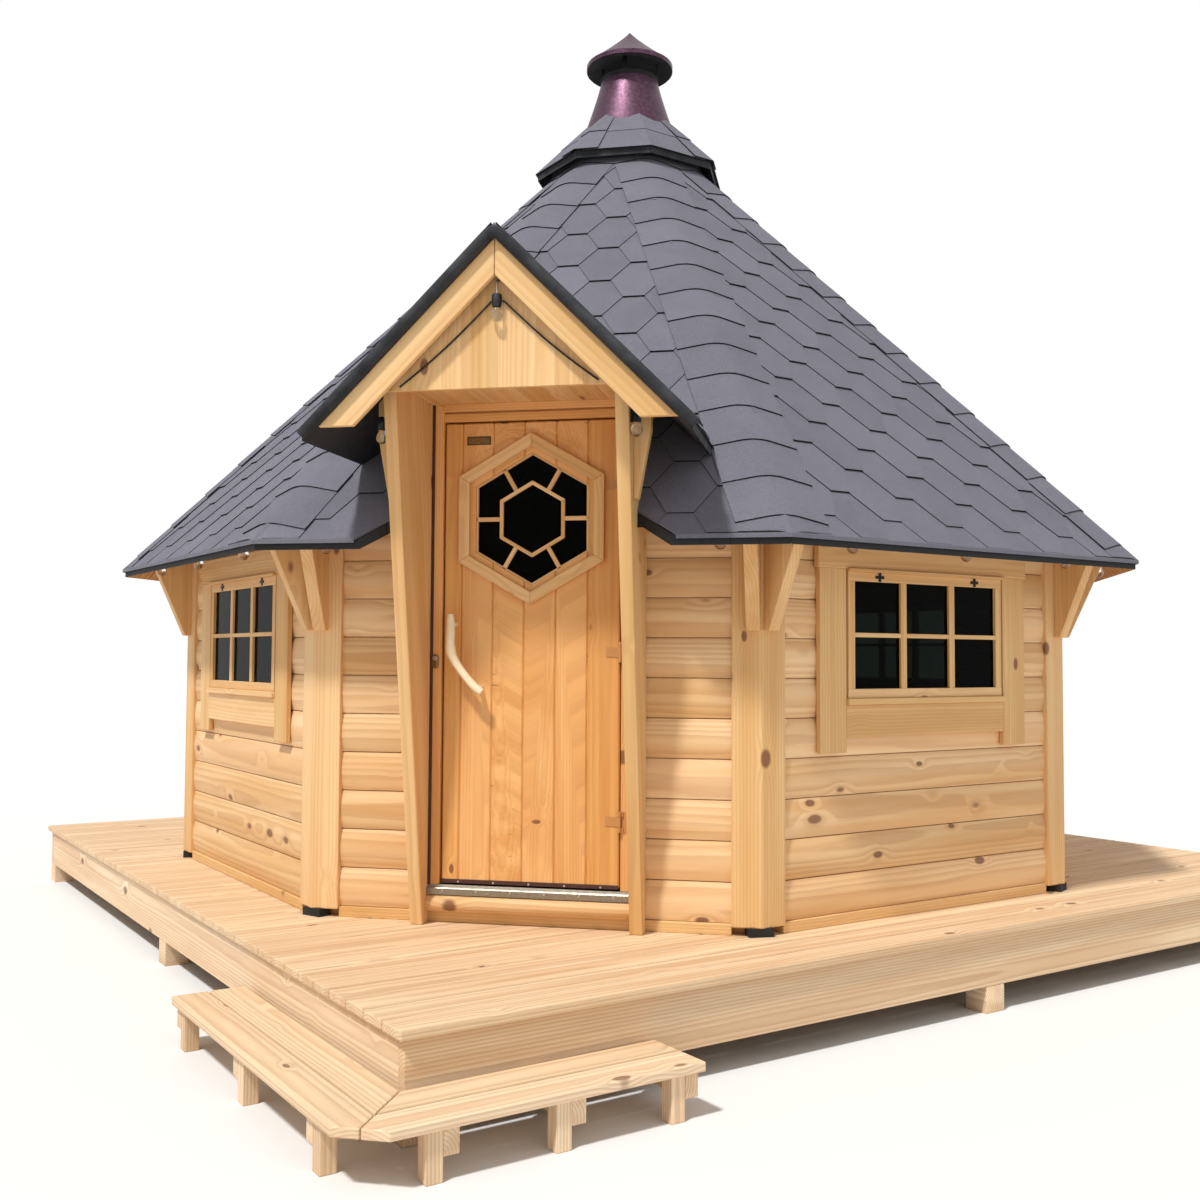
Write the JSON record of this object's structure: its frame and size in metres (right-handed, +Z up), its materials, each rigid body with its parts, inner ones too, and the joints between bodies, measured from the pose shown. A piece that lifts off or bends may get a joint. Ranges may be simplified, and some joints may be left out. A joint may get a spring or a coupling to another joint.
{
  "type": "log cabin",
  "caption": "Octagonal log cabin with a steep shingled roof, raised smoke cap and chimney, gabled porch over a hinged door, on a square timber deck with a corner step.",
  "frame": {"origin": "on the ground, on the underside of the middle deck foot, under the cabin's vertical middle line", "axes": "+Z up, -Y towards the door wall and the deck corner in front of it, +X to the right of someone who faces the door"},
  "size_m": [6.76, 7.0364, 4.6656],
  "materials": {
    "log_pine": "satin",
    "trim_pine": "satin",
    "door_pine": "satin",
    "deck_timber": "matte",
    "roof_boards": "matte",
    "chimney_metal": "gloss",
    "black_iron": "satin",
    "clear_glass": "gloss",
    "peeled_branch": "satin",
    "sill_metal": "satin",
    "foot_pad": "matte",
    "plate_metal": "satin",
    "light_rubber": "matte"
  },
  "bodies": {
    "cabin": {"deck_feet": "deck_timber", "deck_joists": "deck_timber", "rim_boards": "deck_timber", "side_rim_boards": "deck_timber", "deck_boards": "deck_timber", "step_treads": "deck_timber", "step_bearers": "deck_timber", "step_posts": "deck_timber", "cabin_floor": "trim_pine", "base_strips": "trim_pine", "door_wall_left": "log_pine", "door_wall_right": "log_pine", "front_right_wall": "log_pine", "right_wall": "log_pine", "back_right_wall": "log_pine", "back_wall": "log_pine", "back_left_wall": "log_pine", "left_wall": "log_pine", "front_left_wall": "log_pine", "corner_posts": "trim_pine", "post_pads": "foot_pad", "eave_brackets": "trim_pine", "wall_plates": "trim_pine", "front_roof_panel": "roof_boards", "roof_panels": "roof_boards", "cap_collar": "roof_boards", "cap_panels": "roof_boards", "chimney_cone": "chimney_metal", "chimney_hat": "chimney_metal", "hat_stays": "chimney_metal", "porch_roof": "roof_boards", "barge_boards": "trim_pine", "porch_gable": "trim_pine", "porch_ceiling": "trim_pine", "porch_cheeks": "trim_pine", "cheek_brackets": "trim_pine", "door_jambs": "door_pine", "door_head": "door_pine", "door_stops": "door_pine", "door_threshold": "sill_metal", "door_sill": "log_pine", "door_frame_hinges": "black_iron", "door_lock": "black_iron", "string_lights": "light_rubber", "light_bulbs": "clear_glass", "window_linings": "trim_pine", "window_sashes": "trim_pine", "window_glass": "clear_glass", "window_trim": "trim_pine", "window_hinges": "black_iron"},
    "door": {"door_leaf": "door_pine", "door_window_trim": "door_pine", "door_glass": "clear_glass", "door_handle": "peeled_branch", "door_plate": "plate_metal", "door_leaf_hinges": "black_iron"}
  },
  "joints": [
    {"name": "door_hinge", "type": "hinge", "parent": "cabin", "child": "door", "pos_m": [0.338, -2.06308, 0.456], "axis": [0, 0, 1], "range_deg": [0, 90]}
  ]
}
